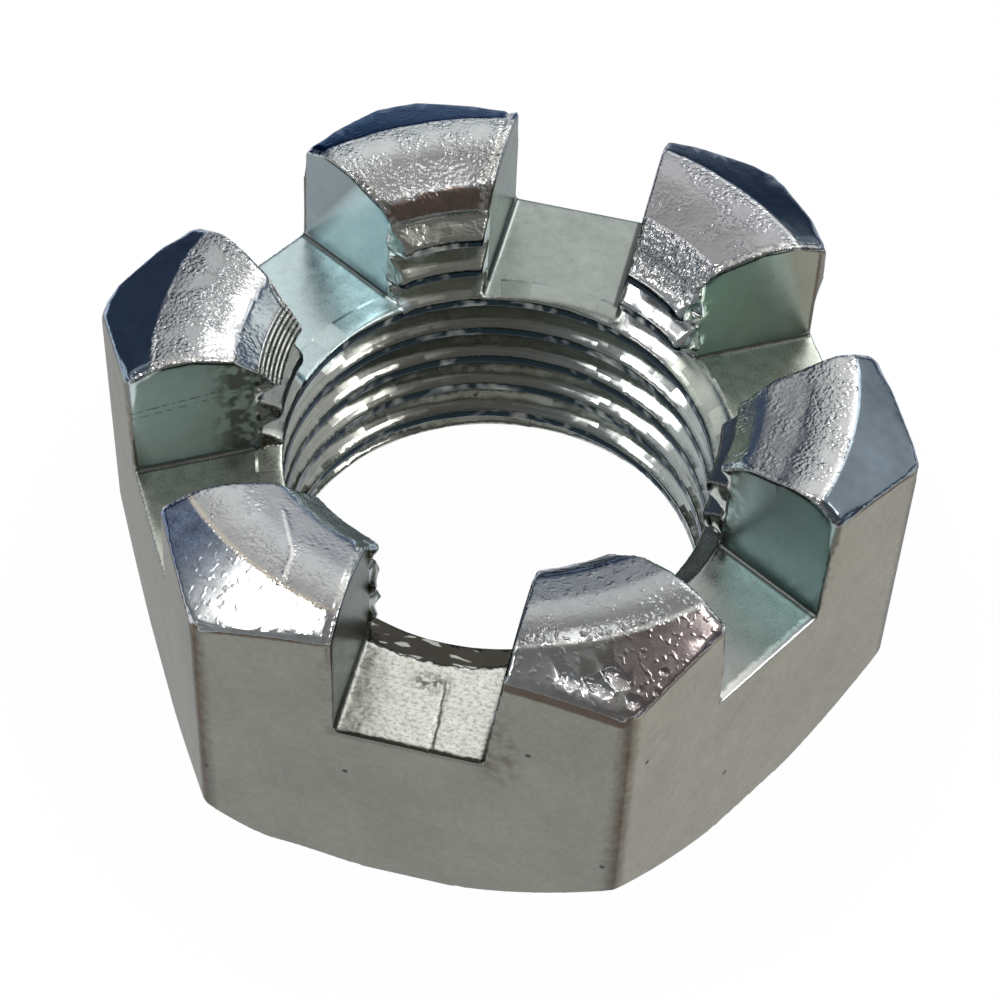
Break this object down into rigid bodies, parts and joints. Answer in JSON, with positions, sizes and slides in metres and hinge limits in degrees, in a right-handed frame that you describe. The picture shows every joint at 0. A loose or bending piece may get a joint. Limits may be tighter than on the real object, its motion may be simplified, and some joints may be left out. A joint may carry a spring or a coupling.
{
  "type": "clutch adjusting nut",
  "caption": "Thin slotted hexagon nut with a threaded bore and a crown of tongues for a locking pin.",
  "frame": {"origin": "centre of the bearing face, on the thread's axis", "axes": "+Z along the thread's axis, out of the slotted crown; two flats face along Y and two corners lie on X"},
  "size_m": [0.0276, 0.024, 0.0126],
  "materials": {
    "zinc_plate": "bright zinc plate, satin on the flats"
  },
  "bodies": {
    "root": {"slotted_nut": "zinc_plate"}
  },
  "joints": []
}
